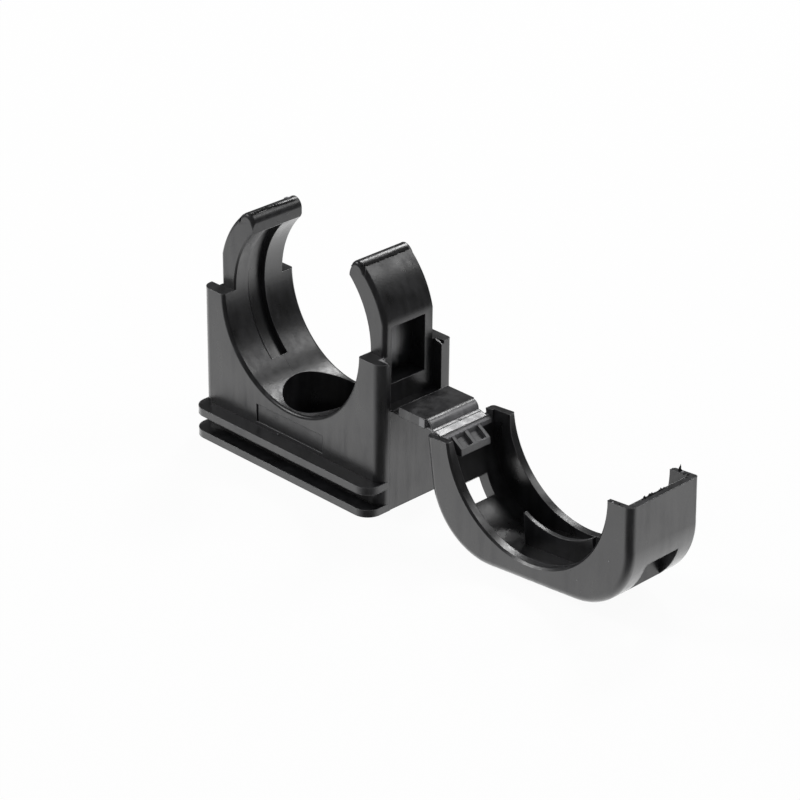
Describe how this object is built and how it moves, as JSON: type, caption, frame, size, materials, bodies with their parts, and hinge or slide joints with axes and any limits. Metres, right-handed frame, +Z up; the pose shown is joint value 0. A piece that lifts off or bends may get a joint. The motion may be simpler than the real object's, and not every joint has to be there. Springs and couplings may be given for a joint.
{
  "type": "hinged cable mounting clip",
  "caption": "Moulded black clip with a round snap seat for corrugated conduit and a lid on film hinges, fixed by one screw through its base.",
  "frame": {"origin": "on the axis of the screw hole, in the underside of the base", "axes": "+X across the conduit towards the hinge and the open lid, +Y along the conduit, +Z up away from the wall the clip is screwed to"},
  "size_m": [0.0842, 0.019, 0.0364],
  "materials": {
    "black_polyamide": "satin"
  },
  "bodies": {
    "clip_base": {"clip_base": "black_polyamide"},
    "hinge_strap": {"hinge_strap": "black_polyamide"},
    "lid": {"lid": "black_polyamide"}
  },
  "joints": [
    {"name": "strap_fold", "type": "hinge", "parent": "clip_base", "child": "hinge_strap", "pos_m": [0.0189, 0, 0.0159], "axis": [0, -1, 0], "range_deg": [0, 88.74]},
    {"name": "lid_fold", "type": "hinge", "parent": "hinge_strap", "child": "lid", "pos_m": [0.0271, 0, 0.01572], "axis": [0, -1, 0], "range_deg": [0, 86.15]}
  ]
}
